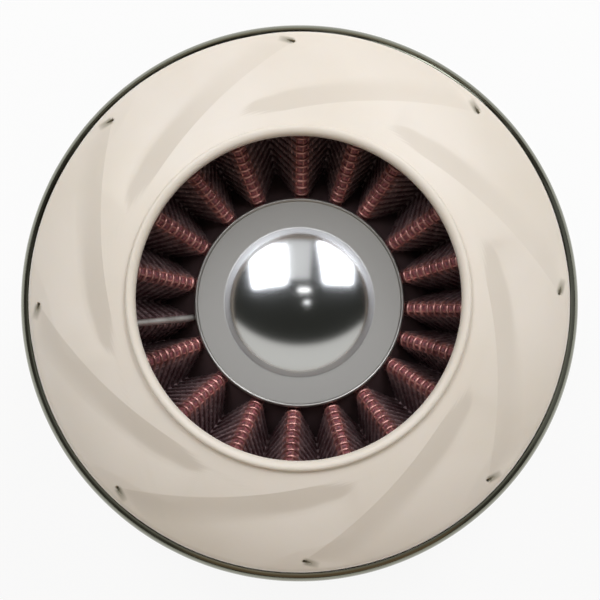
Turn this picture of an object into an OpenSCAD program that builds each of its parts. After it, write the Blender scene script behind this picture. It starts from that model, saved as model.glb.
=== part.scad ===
// Cone air filter whose front is let in as a second, inverted cone.
// It stands on the end of its neck. Z runs up the axis to the front cap, and the origin is
// the centre of the neck's end face. All sizes are in millimetres.

/* [Neck and base] */
// Radius of the bore that slides over the intake pipe
neck_bore_r = 38; // [35:0.5:41]
// Wall of the neck
neck_wall = 5; // [4:0.25:6]
// Length of the neck below the base
neck_len = 38; // [34:1:50]
// Radius of the base at its outer edge
base_r = 72; // [70:0.5:76]
// Thickness of the base
base_thick = 12; // [10:0.5:15]
// Wall of the base outside the pleats
base_rim_wall = 2.5; // [1.5:0.25:4]
// Rounding of the base's lower edge
base_edge = 4; // [2:0.5:5]
// Rounding from the bore to the base's inner face, where the air turns into the neck
bell_r = 11; // [7:0.5:13]

/* [Clamp] */
// Width of the clamp band
band_w = 12.7; // [9:0.1:14]
// Thickness of the clamp band
band_t = 0.7; // [0.5:0.1:1]
// Height of the band's middle above the end of the neck
band_z = 17; // [14:1:22]
// Depth of the seat round the neck that keeps the band in its place
band_seat = 0.8; // [0.4:0.1:1.2]
// Angle round the axis at which the worm housing sits
clamp_at = 60; // [0:5:355]
// Radius of the worm screw over its thread
worm_r = 3.9; // [3.4:0.1:4.2]
// Length of the worm housing along the band
housing_len = 15; // [12:0.5:18]
// Number of slots in the band's free end
band_slots = 9; // [5:1:12]
// Distance from one slot to the next
slot_pitch = 3; // [2.8:0.1:3.4]
// Angle that the band's free end spans
tail_span = 42; // [40:1:60]

/* [Pleated sheets] */
// Thickness of the oiled cotton gauze
gauze_t = 0.7; // [0.5:0.05:0.8]
// Thickness of each wire mesh that stiffens the gauze
mesh_t = 0.35; // [0.25:0.05:0.4]
// Radius of the sheet's middle round each fold
fold_r = 0.95; // [0.9:0.05:1.2]
// Width of the metal strip that closes each sheet's seam
seam_w = 1.5; // [1.2:0.1:2]
// How much lower the seam's fold is than the others
seam_drop = 3; // [2.4:0.1:3.5]

/* [Outer cone] */
// Height of pleats between the base and the front cap
pleat_h = 76; // [60:1:100]
// Depth of the outer pleats, over both meshes
outer_depth = 12.2; // [11:0.2:13]
// Number of outer pleats
outer_pleats = 34; // [28:1:36]
// Depth to which the pleats sit in the base
base_pocket = 5; // [3:0.5:6]

/* [Front cap] */
// Radius of the cap at its outer edge
cap_r = 62.8; // [62:0.2:64]
// Height of the cap over all
cap_h = 26; // [25:0.5:29]
// Wall of the cap outside the pleats
cap_rim_wall = 1.6; // [1.2:0.1:2]
// Depth to which the outer pleats sit in the cap
cap_pocket = 4; // [3:0.25:4.5]
// Width of the cap's face, from its outer edge to the opening
face_w = 26.4; // [25:0.2:27.4]
// Radius of the rounded bead that borders the opening
bead_r = 1.1; // [0.8:0.1:1.4]
// How far the bead stands above the cap's face
bead_rise = 1.5; // [0.8:0.1:2]
// How far the cap's outer edge lies below the bead
cap_drop = 11.7; // [9:0.1:13]
// Radius of the crown between them
crown_r = 56; // [48:1:80]
// Rounding of the cap's outer edge
cap_edge = 2.6; // [1.5:0.1:3.5]
// Depth of the lip below the bead
lip_depth = 4; // [3:0.1:6]

/* [Spiral grooves] */
// Number of grooves in the cap's face
grooves = 8; // [5:1:10]
// Angle round the axis of the first groove's outer end
groove_at = 1; // [0:1:44]
// Distance from the cap's edge to a groove's outer end
groove_from_edge = 3.4; // [2.6:0.2:5.8]
// Distance from the opening to where the groove's opening side ends
groove_from_opening = 5.2; // [4.6:0.2:9]
// Angle through which a groove sweeps on its way in
groove_sweep = 58; // [35:1:60]
// How far its opening side bows out from a straight line
groove_bow = 3; // [2:0.25:6]
// Width of a groove
groove_w = 6; // [3.5:0.1:6.5]
// Depth of a groove at its opening side
groove_d = 1; // [0.8:0.1:2.5]
// Length of the notch at a groove's outer end
notch_len = 2.2; // [1:0.1:3]
// Depth of the notch below the cap's face
notch_d = 2.8; // [1.5:0.1:3.5]

/* [Trim ring] */
// How far the ring stands out round the cap
ring_out = 2.2; // [1.8:0.1:3]
// Radius of the round section of the ring
ring_section_r = 3; // [2.7:0.1:4]
// How far the ring's middle lies below the cap's outer edge
ring_drop = 6.2; // [5:0.1:8]

/* [Inlet cone] */
// How far the fold line's outer end lies under the cap, beyond the opening
inlet_tuck = 7.6; // [7:0.2:8.4]
// Depth of the fold line's outer end below the bead
inlet_top_drop = 8; // [7.5:0.25:8.5]
// Depth of the fold line's inner end below the bead
inlet_end_drop = 26; // [24:0.5:29]
// Depth of the inlet pleats, over both meshes
inlet_depth = 13; // [11:0.25:13.5]

/* [Centre] */
// Width of the pleats that shows between the opening and the disc
inlet_show = 11.4; // [10:0.2:14]
// Thickness of the disc's metal
disc_t = 1; // [0.6:0.1:1.4]
// Width of the flange round the dome
flange_w = 7.1; // [5:0.1:9]
// Height of the dome above the disc's flange
dome_h = 3.6; // [2.5:0.1:6]
// Fillet round the foot of the dome
dome_fillet = 1; // [0.8:0.1:3]
// Radius of the curl round the disc's edge
curl_r = 0.7; // [0.5:0.1:1]
// Height of the plug under the disc, below the inlet pleats
plug_foot = 3; // [2:0.5:6]

/* [Hidden] */

$fn = 96;
// Gap left between pieces that are seated on each other
fit = 0.05;
// Gap left round the screw, the band's free end and the plug's seat
slack = 0.15;
// Margin by which a cutter stands out of what it cuts
over = 1;
// How far the lip's wall stands back from the bead
lip_back = 0.2;
// How far the seats reach past the ridges and past the valleys of the inlet pleats
ridge_lap = 0.7;
valley_lap = 0.4;
// How far the disc reaches over the ends of the pleats
disc_lap = 0.4;
// Width of the wedge's foot behind the inlet pleats
wedge_foot = 2.5;
// How far the slopes of a groove's outer side run out above the face
groove_rise = 0.1;
// Small step along a groove, which gives its direction
nudge = 0.01;
// Share of a groove's length at which its end starts to round, and the least width there
round_from = 0.85;
end_share = 0.08;
// Angle of the step by which the free end leaves the ring of the band
step_span = 2;
// Wall of the worm housing
housing_wall = 1;
// Sizes of a slot in the band's free end, and its lean
slot_w = 1.2;
slot_share = 0.6;
slot_lean = 8;
// Sizes of the worm screw's end, collar and slotted head
screw_out = 1;
collar_h = 1;
collar_out = 0.1;
head_h = 4;
head_slot_w = 1.2;
head_slot_d = 1.5;
// Steps along each fold's quarter turn
fold_steps = 2;
// Stations along each groove
groove_steps = 18;
// Angles of the inlet's folds, uneven as hand pleating leaves them, with the seam among them
inlet_at = [14, 32, 54, 70, 89, 112, 130, 150, 170, 188, 202, 224, 247, 267, 287, 305, 326, 341, 357];
// Place of the seam in that list
inlet_seam = 9;

base_z = neck_len;
base_top_z = base_z + base_thick;
cap_z = base_top_z + pleat_h;
front_z = cap_z + cap_h;
edge_z = front_z - cap_drop;

// Radii that follow the cap's
ring_r = cap_r + ring_out;
opening_r = cap_r - face_w;
inlet_top_r = opening_r + inlet_tuck;
disc_r = opening_r - inlet_show;
dome_r = disc_r - flange_w;
groove_start_r = cap_r - groove_from_edge;
groove_end_r = opening_r + groove_from_opening;

neck_r = neck_bore_r + neck_wall;
seat_r = neck_r - band_seat;
band_in_r = seat_r + fit;
band_out_r = band_in_r + band_t;
tail_in_r = band_out_r + slack;
tail_out_r = tail_in_r + band_t;
worm_x = tail_out_r + worm_r - band_t / 2;

// Distance from the middle of a sheet to the outside of its mesh
half_sheet = gauze_t / 2 + fit + mesh_t;

// Ridge lines, as [radius, height] pairs
outer_foot = [base_r - base_rim_wall - fit, base_top_z - base_pocket + fit];
outer_rim = [cap_r - cap_rim_wall - fit, cap_z];
outer_lean = (outer_rim.x - outer_foot.x) / (outer_rim.y - outer_foot.y);
outer_head = outer_rim + (cap_pocket - fit) * [outer_lean, 1];
outer_in = [-1, 0];
inlet_head = [inlet_top_r, front_z - inlet_top_drop];
inlet_foot = [disc_r - disc_lap, front_z - inlet_end_drop];
inlet_len = norm(inlet_foot - inlet_head);
inlet_dir = (inlet_foot - inlet_head) / inlet_len;
inlet_in = [-inlet_dir.y, inlet_dir.x];
outer_at = [for (i = [0:outer_pleats - 1]) i * 360 / outer_pleats];

// Centre of the arc of a given radius that passes over two points from left to right
function arc_centre(p, q, r) =
    let (m = (p + q) / 2, d = q - p, l = norm(d), h = sqrt(r * r - l * l / 4))
    m + [d.y, -d.x] / l * h;

crown_from = [opening_r + 2 * bead_r, front_z - bead_rise];
crown_to = [cap_r, edge_z];
crown_c = arc_centre(crown_from, crown_to, crown_r);
// Height of the cap's face at a distance from the axis
function crown_z(r) = crown_c.y + sqrt(crown_r * crown_r - pow(r - crown_c.x, 2));

// A point of a pleated sheet: u mm round from an angle and w mm in from the ridge line
function sheet_point(ridge, into, at, u, w) =
    let (r = ridge.x + into.x * w, a = at + u / r * 180 / PI)
    [r * cos(a), r * sin(a), ridge.y + into.y * w];

// Lean of the straight flank between a ridge and a valley that lie half a pitch apart
function flank_lean(half_pitch, rise) =
    atan2(half_pitch, rise) - asin(2 * fold_r / norm([half_pitch, rise]));

// The closed line of a pleated sheet at one end, off mm to the ridge side of its middle.
// It goes over each ridge, down the flank, round the valley and up to the next ridge.
function fold_loop(ridge, into, depth, at, seam, off) =
    let (
        n = len(at),
        mid_r = ridge.x + into.x * depth / 2,
        ro = fold_r + off,
        ri = fold_r - off,
        top = half_sheet + fold_r,
        low = depth - half_sheet - fold_r
    )
    [for (i = [0:n - 1])
        let (
            j = (i + 1) % n,
            a0 = at[i],
            a1 = at[j] + (j == 0 ? 360 : 0),
            av = (a0 + a1) / 2,
            half_pitch = mid_r * (av - a0) * PI / 180,
            top0 = top + (i == seam ? seam_drop : 0),
            top1 = top + (j == seam ? seam_drop : 0),
            f0 = (90 - flank_lean(half_pitch, low - top0)) / fold_steps,
            f1 = (90 - flank_lean(half_pitch, low - top1)) / fold_steps
        )
        each concat(
            [for (k = [0:fold_steps])
                sheet_point(ridge, into, a0, ro * sin(k * f0), top0 - ro * cos(k * f0))],
            [for (k = [fold_steps:-1:1])
                sheet_point(ridge, into, av, -ri * sin(k * f0), low + ri * cos(k * f0))],
            [for (k = [0:fold_steps])
                sheet_point(ridge, into, av, ri * sin(k * f1), low + ri * cos(k * f1))],
            [for (k = [fold_steps:-1:1])
                sheet_point(ridge, into, a1, -ro * sin(k * f1), top1 - ro * cos(k * f1))]
        )
    ];

// A pleated sheet between two ends, from off lo to off hi, closed round the axis
module pleated_sheet(head, foot, into, depth, at, seam, lo, hi) {
    loops = [
        fold_loop(head, into, depth, at, seam, hi),
        fold_loop(foot, into, depth, at, seam, hi),
        fold_loop(foot, into, depth, at, seam, lo),
        fold_loop(head, into, depth, at, seam, lo)
    ];
    m = len(loops[0]);
    faces = [for (j = [0:3], i = [0:m - 1])
        let (
            i1 = (i + 1) % m,
            a = j * m + i,
            b = j * m + i1,
            c = ((j + 1) % 4) * m + i1,
            d = ((j + 1) % 4) * m + i
        )
        // Both sides of the sheet are split along the same diagonal, so that layers stay apart
        each j == 2 ? [[a, b, d], [b, c, d]] : [[a, b, c], [a, c, d]]
    ];
    polyhedron([for (l = loops) each l], faces);
}

module inlet_sheet(lo, hi)
    pleated_sheet(inlet_head, inlet_foot, inlet_in, inlet_depth, inlet_at, inlet_seam, lo, hi);

module outer_sheet(lo, hi)
    pleated_sheet(outer_head, outer_foot, outer_in, outer_depth, outer_at, 0, lo, hi);

// Puts what stands on local Z along a ridge line, with local X pointing out of the pleats
module along_ridge(from, to, at)
    rotate([0, 0, at])
        translate([from.x, 0, from.y])
            rotate([0, atan2(to.x - from.x, to.y - from.y), 0])
                children();

// The metal strip that is crimped flat over the sheet's ends, and stands on the seam's fold
module seam_strip(from, to, at)
    along_ridge(from, to, at)
        translate([-seam_drop + fit, 0, seam_w / 2])
            linear_extrude(norm(to - from) - seam_w)
                union() {
                    translate([0, -seam_w / 2])
                        square([seam_drop - fit - seam_w / 2, seam_w]);
                    translate([seam_drop - fit - seam_w / 2, 0])
                        circle(seam_w / 2);
                }

// Turns a section of [radius, height] round the axis
module turned()
    rotate_extrude($fn = 180)
        children();

// The ground that a groove covers: its opening side bows out between its two ends
function groove_edge(t) =
    let (
        s = [groove_start_r, 0],
        e = groove_end_r * [cos(groove_sweep), sin(groove_sweep)],
        d = e - s
    )
    s + t * d + 4 * t * (1 - t) * groove_bow * [d.y, -d.x] / norm(d);
function groove_out(t) =
    let (d = groove_edge(t + nudge) - groove_edge(t - nudge))
    [d.y, -d.x] / norm(d);
// Full width most of the way in, and then a round end
function groove_width(t) =
    groove_w * (t < round_from ? 1
        : max(end_share, sqrt(1 - pow((t - round_from) / (1 - round_from), 2))));

module groove_cutter() {
    points = [for (i = [0:groove_steps])
        let (
            t = i / groove_steps,
            p = groove_edge(t),
            q = p + groove_out(t) * groove_width(t)
        )
        each [
            [p.x, p.y, crown_z(norm(p)) - groove_d],
            [q.x, q.y, crown_z(norm(q)) + groove_rise],
            [q.x, q.y, front_z + over],
            [p.x, p.y, front_z + over]
        ]
    ];
    sides = [for (i = [0:groove_steps - 1], k = [0:3])
        let (a = 4 * i + k, b = 4 * i + (k + 1) % 4)
        each [[a, b, b + 4], [a, b + 4, a + 4]]
    ];
    last = 4 * groove_steps;
    polyhedron(points, concat(sides, [[3, 2, 1, 0], [last, last + 1, last + 2, last + 3]]));
}

// A three-cornered notch along the groove's opening side
module notch_cutter() {
    to = groove_edge(nudge) - groove_edge(0);
    floor_z = crown_z(groove_start_r) - notch_d;
    translate([groove_start_r, 0, floor_z])
        rotate([0, 0, atan2(to.y, to.x)])
            linear_extrude(front_z + over - floor_z)
                polygon([
                    [-slack, groove_rise], [notch_len, groove_rise], [-slack, -notch_len / 2]
                ]);
}

// The seat of the inlet pleats in the cap or the plug, w mm in from the ridge line
function seat_point(end, w, gap) = end + inlet_in * w + inlet_dir * gap;

module cap_section() {
    e = cap_edge;
    c = [cap_r - e, crown_c.y + sqrt(pow(crown_r - e, 2) - pow(cap_r - e - crown_c.x, 2))];
    u = (c - crown_c) / norm(c - crown_c);
    t = crown_c + crown_r * u;
    seat_in = seat_point(inlet_head, -ridge_lap, -fit);
    seat_out = seat_point(inlet_head, inlet_depth + valley_lap, -fit);
    wall_r = outer_head.x - outer_depth - fit;
    // Foot of the wedge that backs the inlet pleats
    foot_r = wall_r - wedge_foot;
    foot_z = seat_out.y + inlet_dir.y / inlet_dir.x * (foot_r - seat_out.x);
    lip_r = opening_r + lip_back;
    difference() {
        intersection() {
            translate(crown_c)
                circle(crown_r, $fn = 360);
            polygon([
                [lip_r, front_z], [lip_r, front_z - lip_depth],
                seat_in, seat_out,
                [foot_r, foot_z], [wall_r, foot_z], [wall_r, cap_z + cap_pocket],
                [outer_rim.x + fit, cap_z + cap_pocket], [outer_rim.x + fit, cap_z],
                [cap_r, cap_z], [cap_r, front_z]
            ]);
        }
        difference() {
            polygon([c, [cap_r + over, c.y], [cap_r + over, t.y + over], t + over * u]);
            translate(c)
                circle(e);
        }
    }
}

module bead()
    turned()
        translate([opening_r + bead_r, front_z - bead_r])
            circle(bead_r);

module front_cap()
    color("#E3D9CA")
        difference() {
            union() {
                turned()
                    cap_section();
                bead();
            }
            for (i = [0:grooves - 1])
                rotate([0, 0, groove_at + i * 360 / grooves]) {
                    groove_cutter();
                    notch_cutter();
                }
        }

module trim_ring()
    color("#1B1A12")
        turned()
            difference() {
                translate([ring_r - ring_section_r, edge_z - ring_drop])
                    circle(ring_section_r);
                translate([cap_r + fit - 2 * ring_section_r, edge_z - ring_drop - 2 * ring_section_r])
                    square([2 * ring_section_r, 4 * ring_section_r]);
            }

module inlet_gauze()
    color("#6E1E26")
        inlet_sheet(-gauze_t / 2, gauze_t / 2);

module inlet_mesh_front()
    color("#3A3434")
        inlet_sheet(gauze_t / 2 + fit, half_sheet);

module inlet_mesh_back()
    color("#3A3434")
        inlet_sheet(-half_sheet, -gauze_t / 2 - fit);

module inlet_seam_strip()
    color("#8A8A86")
        seam_strip(inlet_head, inlet_foot, inlet_at[inlet_seam]);

// Top of the plug, where the disc lies
plug_z = seat_point(inlet_foot, -ridge_lap, slack).y;
dome_base_z = plug_z + fit + disc_t;
dome_ball_r = (dome_r * dome_r + dome_h * dome_h) / (2 * dome_h);
dome_c_z = dome_base_z + dome_h - dome_ball_r;

module centre_plug()
    color("#2A2624") {
        seat_in = seat_point(inlet_foot, -ridge_lap, slack);
        seat_out = seat_point(inlet_foot, inlet_depth + valley_lap, slack);
        turned()
            polygon([
                [0, plug_z], seat_in, seat_out,
                [seat_out.x, seat_out.y - plug_foot], [0, seat_out.y - plug_foot]
            ]);
        // Boss that fills the dome
        turned()
            dome_section(dome_ball_r - disc_t - fit, plug_z - over);
    }

// The part of the dome's ball that stands above a height, on one side of the axis
module dome_section(r, from_z)
    intersection() {
        translate([0, dome_c_z])
            circle(r, $fn = 360);
        translate([0, from_z])
            square([sqrt(r * r - pow(max(from_z, plug_z) - dome_c_z, 2)), dome_h + 2 * disc_t + over]);
    }

// Fillet that runs from the dome out to the flange
module dome_foot_section() {
    ball = [0, dome_c_z];
    c_z = dome_base_z + dome_fillet;
    c = [sqrt(pow(dome_ball_r + dome_fillet, 2) - pow(c_z - dome_c_z, 2)), c_z];
    difference() {
        polygon([
            [dome_r - dome_fillet, dome_base_z - disc_t / 2], [c.x, dome_base_z - disc_t / 2],
            c, ball + (c - ball) / norm(c - ball) * (dome_ball_r - disc_t / 2)
        ]);
        translate(c)
            circle(dome_fillet);
    }
}

module chrome_dome()
    color("#D9DADB")
        difference() {
            union() {
                turned()
                    translate([0, plug_z + fit])
                        square([disc_r - curl_r, disc_t]);
                turned()
                    dome_section(dome_ball_r, plug_z + fit);
                turned()
                    dome_foot_section();
                turned()
                    translate([disc_r - curl_r, plug_z + fit + disc_t])
                        circle(curl_r);
                turned()
                    translate([disc_r - 2 * curl_r, plug_z + fit])
                        square([2 * curl_r, disc_t]);
            }
            turned()
                dome_section(dome_ball_r - disc_t, plug_z - over);
        }

module outer_gauze()
    color("#6E1E26")
        outer_sheet(-gauze_t / 2, gauze_t / 2);

module outer_mesh_outside()
    color("#3A3434")
        outer_sheet(gauze_t / 2 + fit, half_sheet);

module outer_mesh_inside()
    color("#3A3434")
        outer_sheet(-half_sheet, -gauze_t / 2 - fit);

module outer_seam_strip()
    color("#8A8A86")
        seam_strip(outer_foot, outer_head, outer_at[0]);

module base_neck()
    color("#20201E")
        turned()
            difference() {
                union() {
                    translate([neck_bore_r, 0])
                        square([neck_wall, neck_len + over]);
                    translate([neck_bore_r, base_z + base_edge])
                        square([base_r - neck_bore_r, base_thick - base_edge]);
                    translate([neck_bore_r, base_z])
                        square([base_r - base_edge - neck_bore_r, base_thick]);
                    translate([base_r - base_edge, base_z + base_edge])
                        circle(base_edge);
                }
                // Bell mouth from the base into the bore
                difference() {
                    translate([neck_bore_r - over, base_top_z - bell_r])
                        square([bell_r + over, bell_r + over]);
                    translate([neck_bore_r + bell_r, base_top_z - bell_r])
                        circle(bell_r);
                }
                // Pocket for the outer pleats, which lean inwards as they rise
                translate([outer_foot.x + base_pocket * outer_lean - outer_depth - fit, base_top_z - base_pocket])
                    square([outer_depth - base_pocket * outer_lean + 2 * fit, base_pocket + over]);
                // Seat of the clamp band
                translate([seat_r, band_z - band_w / 2 - slack])
                    square([neck_wall, band_w + 2 * slack]);
            }

// A part of a ring, from an angle over a span
module ring_piece(r_in, r_out, h, from, span)
    rotate([0, 0, from])
        rotate_extrude(angle = span, $fn = 180)
            translate([r_in, -h / 2])
                square([r_out - r_in, h]);

// Puts what follows at the height and angle of the clamp
module at_clamp()
    translate([0, 0, band_z])
        rotate([0, 0, clamp_at])
            children();

module clamp_band()
    color("#B9BBBC")
        at_clamp() {
            difference() {
                union() {
                    rotate_extrude($fn = 180)
                        translate([band_in_r, -band_w / 2])
                            square([band_t, band_w]);
                    ring_piece(tail_in_r, tail_out_r, band_w, -tail_span / 3, tail_span);
                    // Step that joins the free end to the ring
                    ring_piece(band_out_r - band_t / 2, tail_in_r + band_t / 2, band_w, -tail_span / 3, step_span);
                }
                for (i = [0:band_slots - 1])
                    rotate([0, 0, (i - 2) * slot_pitch / tail_out_r * 180 / PI])
                        translate([tail_in_r - slack / 2, 0, 0])
                            rotate([slot_lean, 0, 0])
                                translate([0, -slot_w / 2, -band_w * slot_share / 2])
                                    cube([band_t + 2 * slack, slot_w, band_w * slot_share]);
            }
        }

module clamp_housing()
    color("#A9ABAC")
        at_clamp()
            difference() {
                rotate([90, 0, 0])
                    linear_extrude(housing_len, center = true)
                        difference() {
                            union() {
                                translate([worm_x, 0])
                                    circle(worm_r + housing_wall + slack);
                                translate([tail_out_r + slack, -band_w / 2])
                                    square([worm_x - tail_out_r, band_w]);
                            }
                            translate([worm_x, 0])
                                circle(worm_r + slack);
                        }
                cylinder(r = tail_out_r + slack, h = 2 * band_w, center = true, $fn = 180);
            }

module clamp_screw()
    color("#9A9C9E")
        at_clamp()
            translate([worm_x, 0, 0])
                rotate([90, 0, 0]) {
                    translate([0, 0, -housing_len / 2 - screw_out])
                        cylinder(r = worm_r - band_t / 2 - slack, h = housing_len + 2 * screw_out);
                    translate([0, 0, housing_len / 2 + slack])
                        cylinder(r = worm_r + collar_out, h = collar_h, $fn = 60);
                    translate([0, 0, housing_len / 2 + slack + collar_h])
                        difference() {
                            cylinder(r = worm_r, h = head_h, $fn = 6);
                            translate([-head_slot_w / 2, -2 * worm_r, head_h - head_slot_d])
                                cube([head_slot_w, 4 * worm_r, head_h]);
                        }
                }

front_cap();
trim_ring();
inlet_gauze();
inlet_mesh_front();
inlet_mesh_back();
inlet_seam_strip();
centre_plug();
chrome_dome();
outer_gauze();
outer_mesh_outside();
outer_mesh_inside();
outer_seam_strip();
base_neck();
clamp_band();
clamp_housing();
clamp_screw();
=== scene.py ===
# %% [markdown]
# # A cone air filter with a let-in front
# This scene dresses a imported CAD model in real-looking surfaces. The filter stands on its
# neck on a pale table, and the camera looks down on the face of its front cap.
# The first cell loads the CAD model. Its parts are already in their places, in metres,
# so each piece made here only has to use the same sizes.

# %% Load the frame
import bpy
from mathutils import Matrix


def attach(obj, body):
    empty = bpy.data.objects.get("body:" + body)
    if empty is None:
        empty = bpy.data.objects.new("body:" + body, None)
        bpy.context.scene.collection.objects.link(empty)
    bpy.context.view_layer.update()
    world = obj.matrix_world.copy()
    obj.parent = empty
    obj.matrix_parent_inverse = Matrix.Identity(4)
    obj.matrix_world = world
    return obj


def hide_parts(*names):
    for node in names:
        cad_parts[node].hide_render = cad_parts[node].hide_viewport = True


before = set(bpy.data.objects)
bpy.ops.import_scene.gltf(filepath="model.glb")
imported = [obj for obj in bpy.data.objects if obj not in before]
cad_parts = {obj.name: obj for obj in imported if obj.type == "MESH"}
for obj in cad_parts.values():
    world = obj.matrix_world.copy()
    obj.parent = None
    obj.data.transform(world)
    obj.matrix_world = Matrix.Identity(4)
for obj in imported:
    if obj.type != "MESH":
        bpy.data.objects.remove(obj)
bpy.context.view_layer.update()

# %% Modules used below
import math

import bmesh
import bpy
import numpy as np
from mathutils import Matrix, Vector

scene = bpy.context.scene

# %% [markdown]
# ## Sizes
# The sizes are the ones the CAD model was drawn with, in millimetres. The front face is a
# crown, an arc that falls from the bead round the opening to the cap's outer edge.

# %% Sizes in millimetres
MM = 0.001
FRONT_Z = 152.0
CAP_R = 62.8
CAP_Z = 126.0
EDGE_Z = 140.3
CAP_EDGE = 2.6
OPENING_R = 36.4
LIP_R = 36.6
BEAD_R = 1.1
LIP_DEPTH = 4.0
CROWN_R = 56.0
CROWN_DROP = 1.5


def arc_centre(p, q, r):
    """Centre of the arc of radius r that passes over p and q from left to right."""
    p, q = Vector(p), Vector(q)
    d = q - p
    h = math.sqrt(r * r - d.length_squared / 4)
    return (p + q) / 2 + Vector((d.y, -d.x)) / d.length * h


crown_from = (OPENING_R + 2 * BEAD_R, FRONT_Z - CROWN_DROP)
crown_c = arc_centre(crown_from, (CAP_R, EDGE_Z), CROWN_R)


def crown_z(r):
    """Height of the cap's face at a distance from the axis."""
    return crown_c.y + np.sqrt(CROWN_R**2 - (r - crown_c.x) ** 2)


print("crown centre", [round(x, 2) for x in crown_c])

# %% [markdown]
# ## Camera
# The photograph looks almost straight down the axis from about 0.37 m, tilted three degrees
# towards the bottom of the picture. From that near, the trim ring hides the wider base.
# The lens, the tilts and the small shift were fitted to circles measured in the photograph.

# %% Camera
TILT = math.radians(3.0)
TURN = math.radians(0.55)
DISTANCE = 0.365
AIM_Z = 140
PICTURE_W = 600
back = Vector((math.sin(TURN), -math.sin(TILT) * math.cos(TURN), math.cos(TILT) * math.cos(TURN)))
right = Vector((0, 1, 0)).cross(back).normalized()
up = back.cross(right)
aim = Vector((0, 0, AIM_Z)) * MM
camera = bpy.data.objects.new("camera", bpy.data.cameras.new("camera"))
scene.collection.objects.link(camera)
axes = Matrix((right, up, back)).transposed().to_4x4()
camera.matrix_world = Matrix.Translation(aim + back * DISTANCE) @ axes
camera.data.sensor_width = 36
camera.data.lens = 95.3
camera.data.shift_x = 1.2 / PICTURE_W
camera.data.shift_y = -0.42 / PICTURE_W
camera.data.clip_start = 0.01
camera.data.clip_end = 20
scene.camera = camera
print("camera at", [round(x, 3) for x in camera.location])

# %% [markdown]
# ## Materials
# Every finish here is made from shader nodes. One function turns a hex colour, as a colour
# picker shows it, into the linear light that the shaders compute with. One more adds a node
# with its settings and links, so that each material reads as a short list.

# %% Colour, node and material helpers
def linear(colour):
    """A hex colour such as "E3D9CA" as linear red, green, blue and alpha."""
    channels = [int(colour[i:i + 2], 16) / 255 for i in (0, 2, 4)]
    return [c / 12.92 if c <= 0.04045 else ((c + 0.055) / 1.055) ** 2.4 for c in channels] + [1.0]


def add(tree, kind, settings=None, **sockets):
    """Adds a node. A socket goes by its label, with _ for spaces, or by i and its number.

    It takes a value or a link.
    """
    made = tree.nodes.new("ShaderNode" + kind)
    for name, value in (settings or {}).items():
        setattr(made, name, value)
    for name, value in sockets.items():
        numbered = name[0] == "i" and name[1:].isdigit()
        socket = made.inputs[int(name[1:]) if numbered else name.replace("_", " ")]
        if isinstance(value, bpy.types.NodeSocket):
            tree.links.new(value, socket)
        else:
            socket.default_value = value
    return made


def surface(name, colour, roughness, **sockets):
    """A new material: its node tree and its Principled shader, wired to the output."""
    made = bpy.data.materials.new(name)
    made.use_nodes = True
    tree = made.node_tree
    tree.nodes.clear()
    shader = add(tree, "BsdfPrincipled", Base_Color=linear(colour), Roughness=roughness, **sockets)
    add(tree, "OutputMaterial", Surface=shader.outputs[0])
    return made, tree, shader


def ramp(tree, fac, *stops):
    """A colour ramp from pairs of position and hex colour."""
    made = add(tree, "ValToRGB", Fac=fac)
    elements = made.color_ramp.elements
    while len(elements) < len(stops):
        elements.new(0.5)
    for element, (position, colour) in zip(elements, stops):
        element.position = position
        element.color = linear(colour)
    return made.outputs[0]


def patterned(tree, shader, colours=None, roughness=None, height=None, strength=0.3, distance=0.0002):
    """Wires a colour, a roughness and a bump height into a shader."""
    if colours is not None:
        tree.links.new(colours, shader.inputs["Base Color"])
    if roughness is not None:
        tree.links.new(roughness, shader.inputs["Roughness"])
    if height is not None:
        bump = add(tree, "Bump", Strength=strength, Distance=distance, Height=height)
        tree.links.new(bump.outputs[0], shader.inputs["Normal"])


# %% [markdown]
# ## From a bmesh to a finished piece
# Most of the filter is turned: a section that is spun round the axis. The helper makes the
# section's edge loop, spins it with Blender's spin operator and merges the poles. Spinning
# may turn the faces inside out, so the normals are worked out again.

# %% Turning and finishing
def arc(centre, r, start, end, steps):
    """Points on an arc, with angles in degrees."""
    angles = np.radians(np.linspace(start, end, steps + 1))
    return [(centre[0] + r * math.cos(a), centre[1] + r * math.sin(a)) for a in angles]


def line(p, q, steps):
    """Points from p up to, but without, q."""
    return [(p[0] + (q[0] - p[0]) * i / steps, p[1] + (q[1] - p[1]) * i / steps) for i in range(steps)]


def turned(section, steps, closed=True):
    """A section of radius and height pairs, spun round Z. An open one starts and ends on the axis."""
    bm = bmesh.new()
    verts = [bm.verts.new((r * MM, 0, z * MM)) for r, z in section]
    edges = [bm.edges.new(pair) for pair in zip(verts, verts[1:] + verts[:closed])]
    bmesh.ops.spin(bm, geom=verts + edges, cent=(0, 0, 0), axis=(0, 0, 1), angle=math.tau,
                   steps=steps, use_merge=True)
    bmesh.ops.remove_doubles(bm, verts=bm.verts, dist=1e-6)
    bmesh.ops.recalc_face_normals(bm, faces=bm.faces)
    return bm


def finished(name, bm, material, replaced=(), crease=35):
    """Makes the object of a bmesh, smooth but for creases, riding on the filter's one body."""
    mesh = bpy.data.meshes.new(name)
    bm.to_mesh(mesh)
    bm.free()
    mesh.materials.append(material)
    mesh.shade_smooth()
    mesh.set_sharp_from_angle(angle=math.radians(crease))
    made = bpy.data.objects.new(name, mesh)
    scene.collection.objects.link(made)
    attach(made, "root")
    if replaced:
        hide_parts(*replaced)
    print(name, len(mesh.vertices), "vertices,", len(mesh.polygons), "faces")
    return made


def refinish(node, material):
    """Gives a CAD node that keeps its shape a better material."""
    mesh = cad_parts[node].data
    mesh.materials.clear()
    mesh.materials.append(material)
    print(node, "keeps its CAD shape in", material.name)


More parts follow.
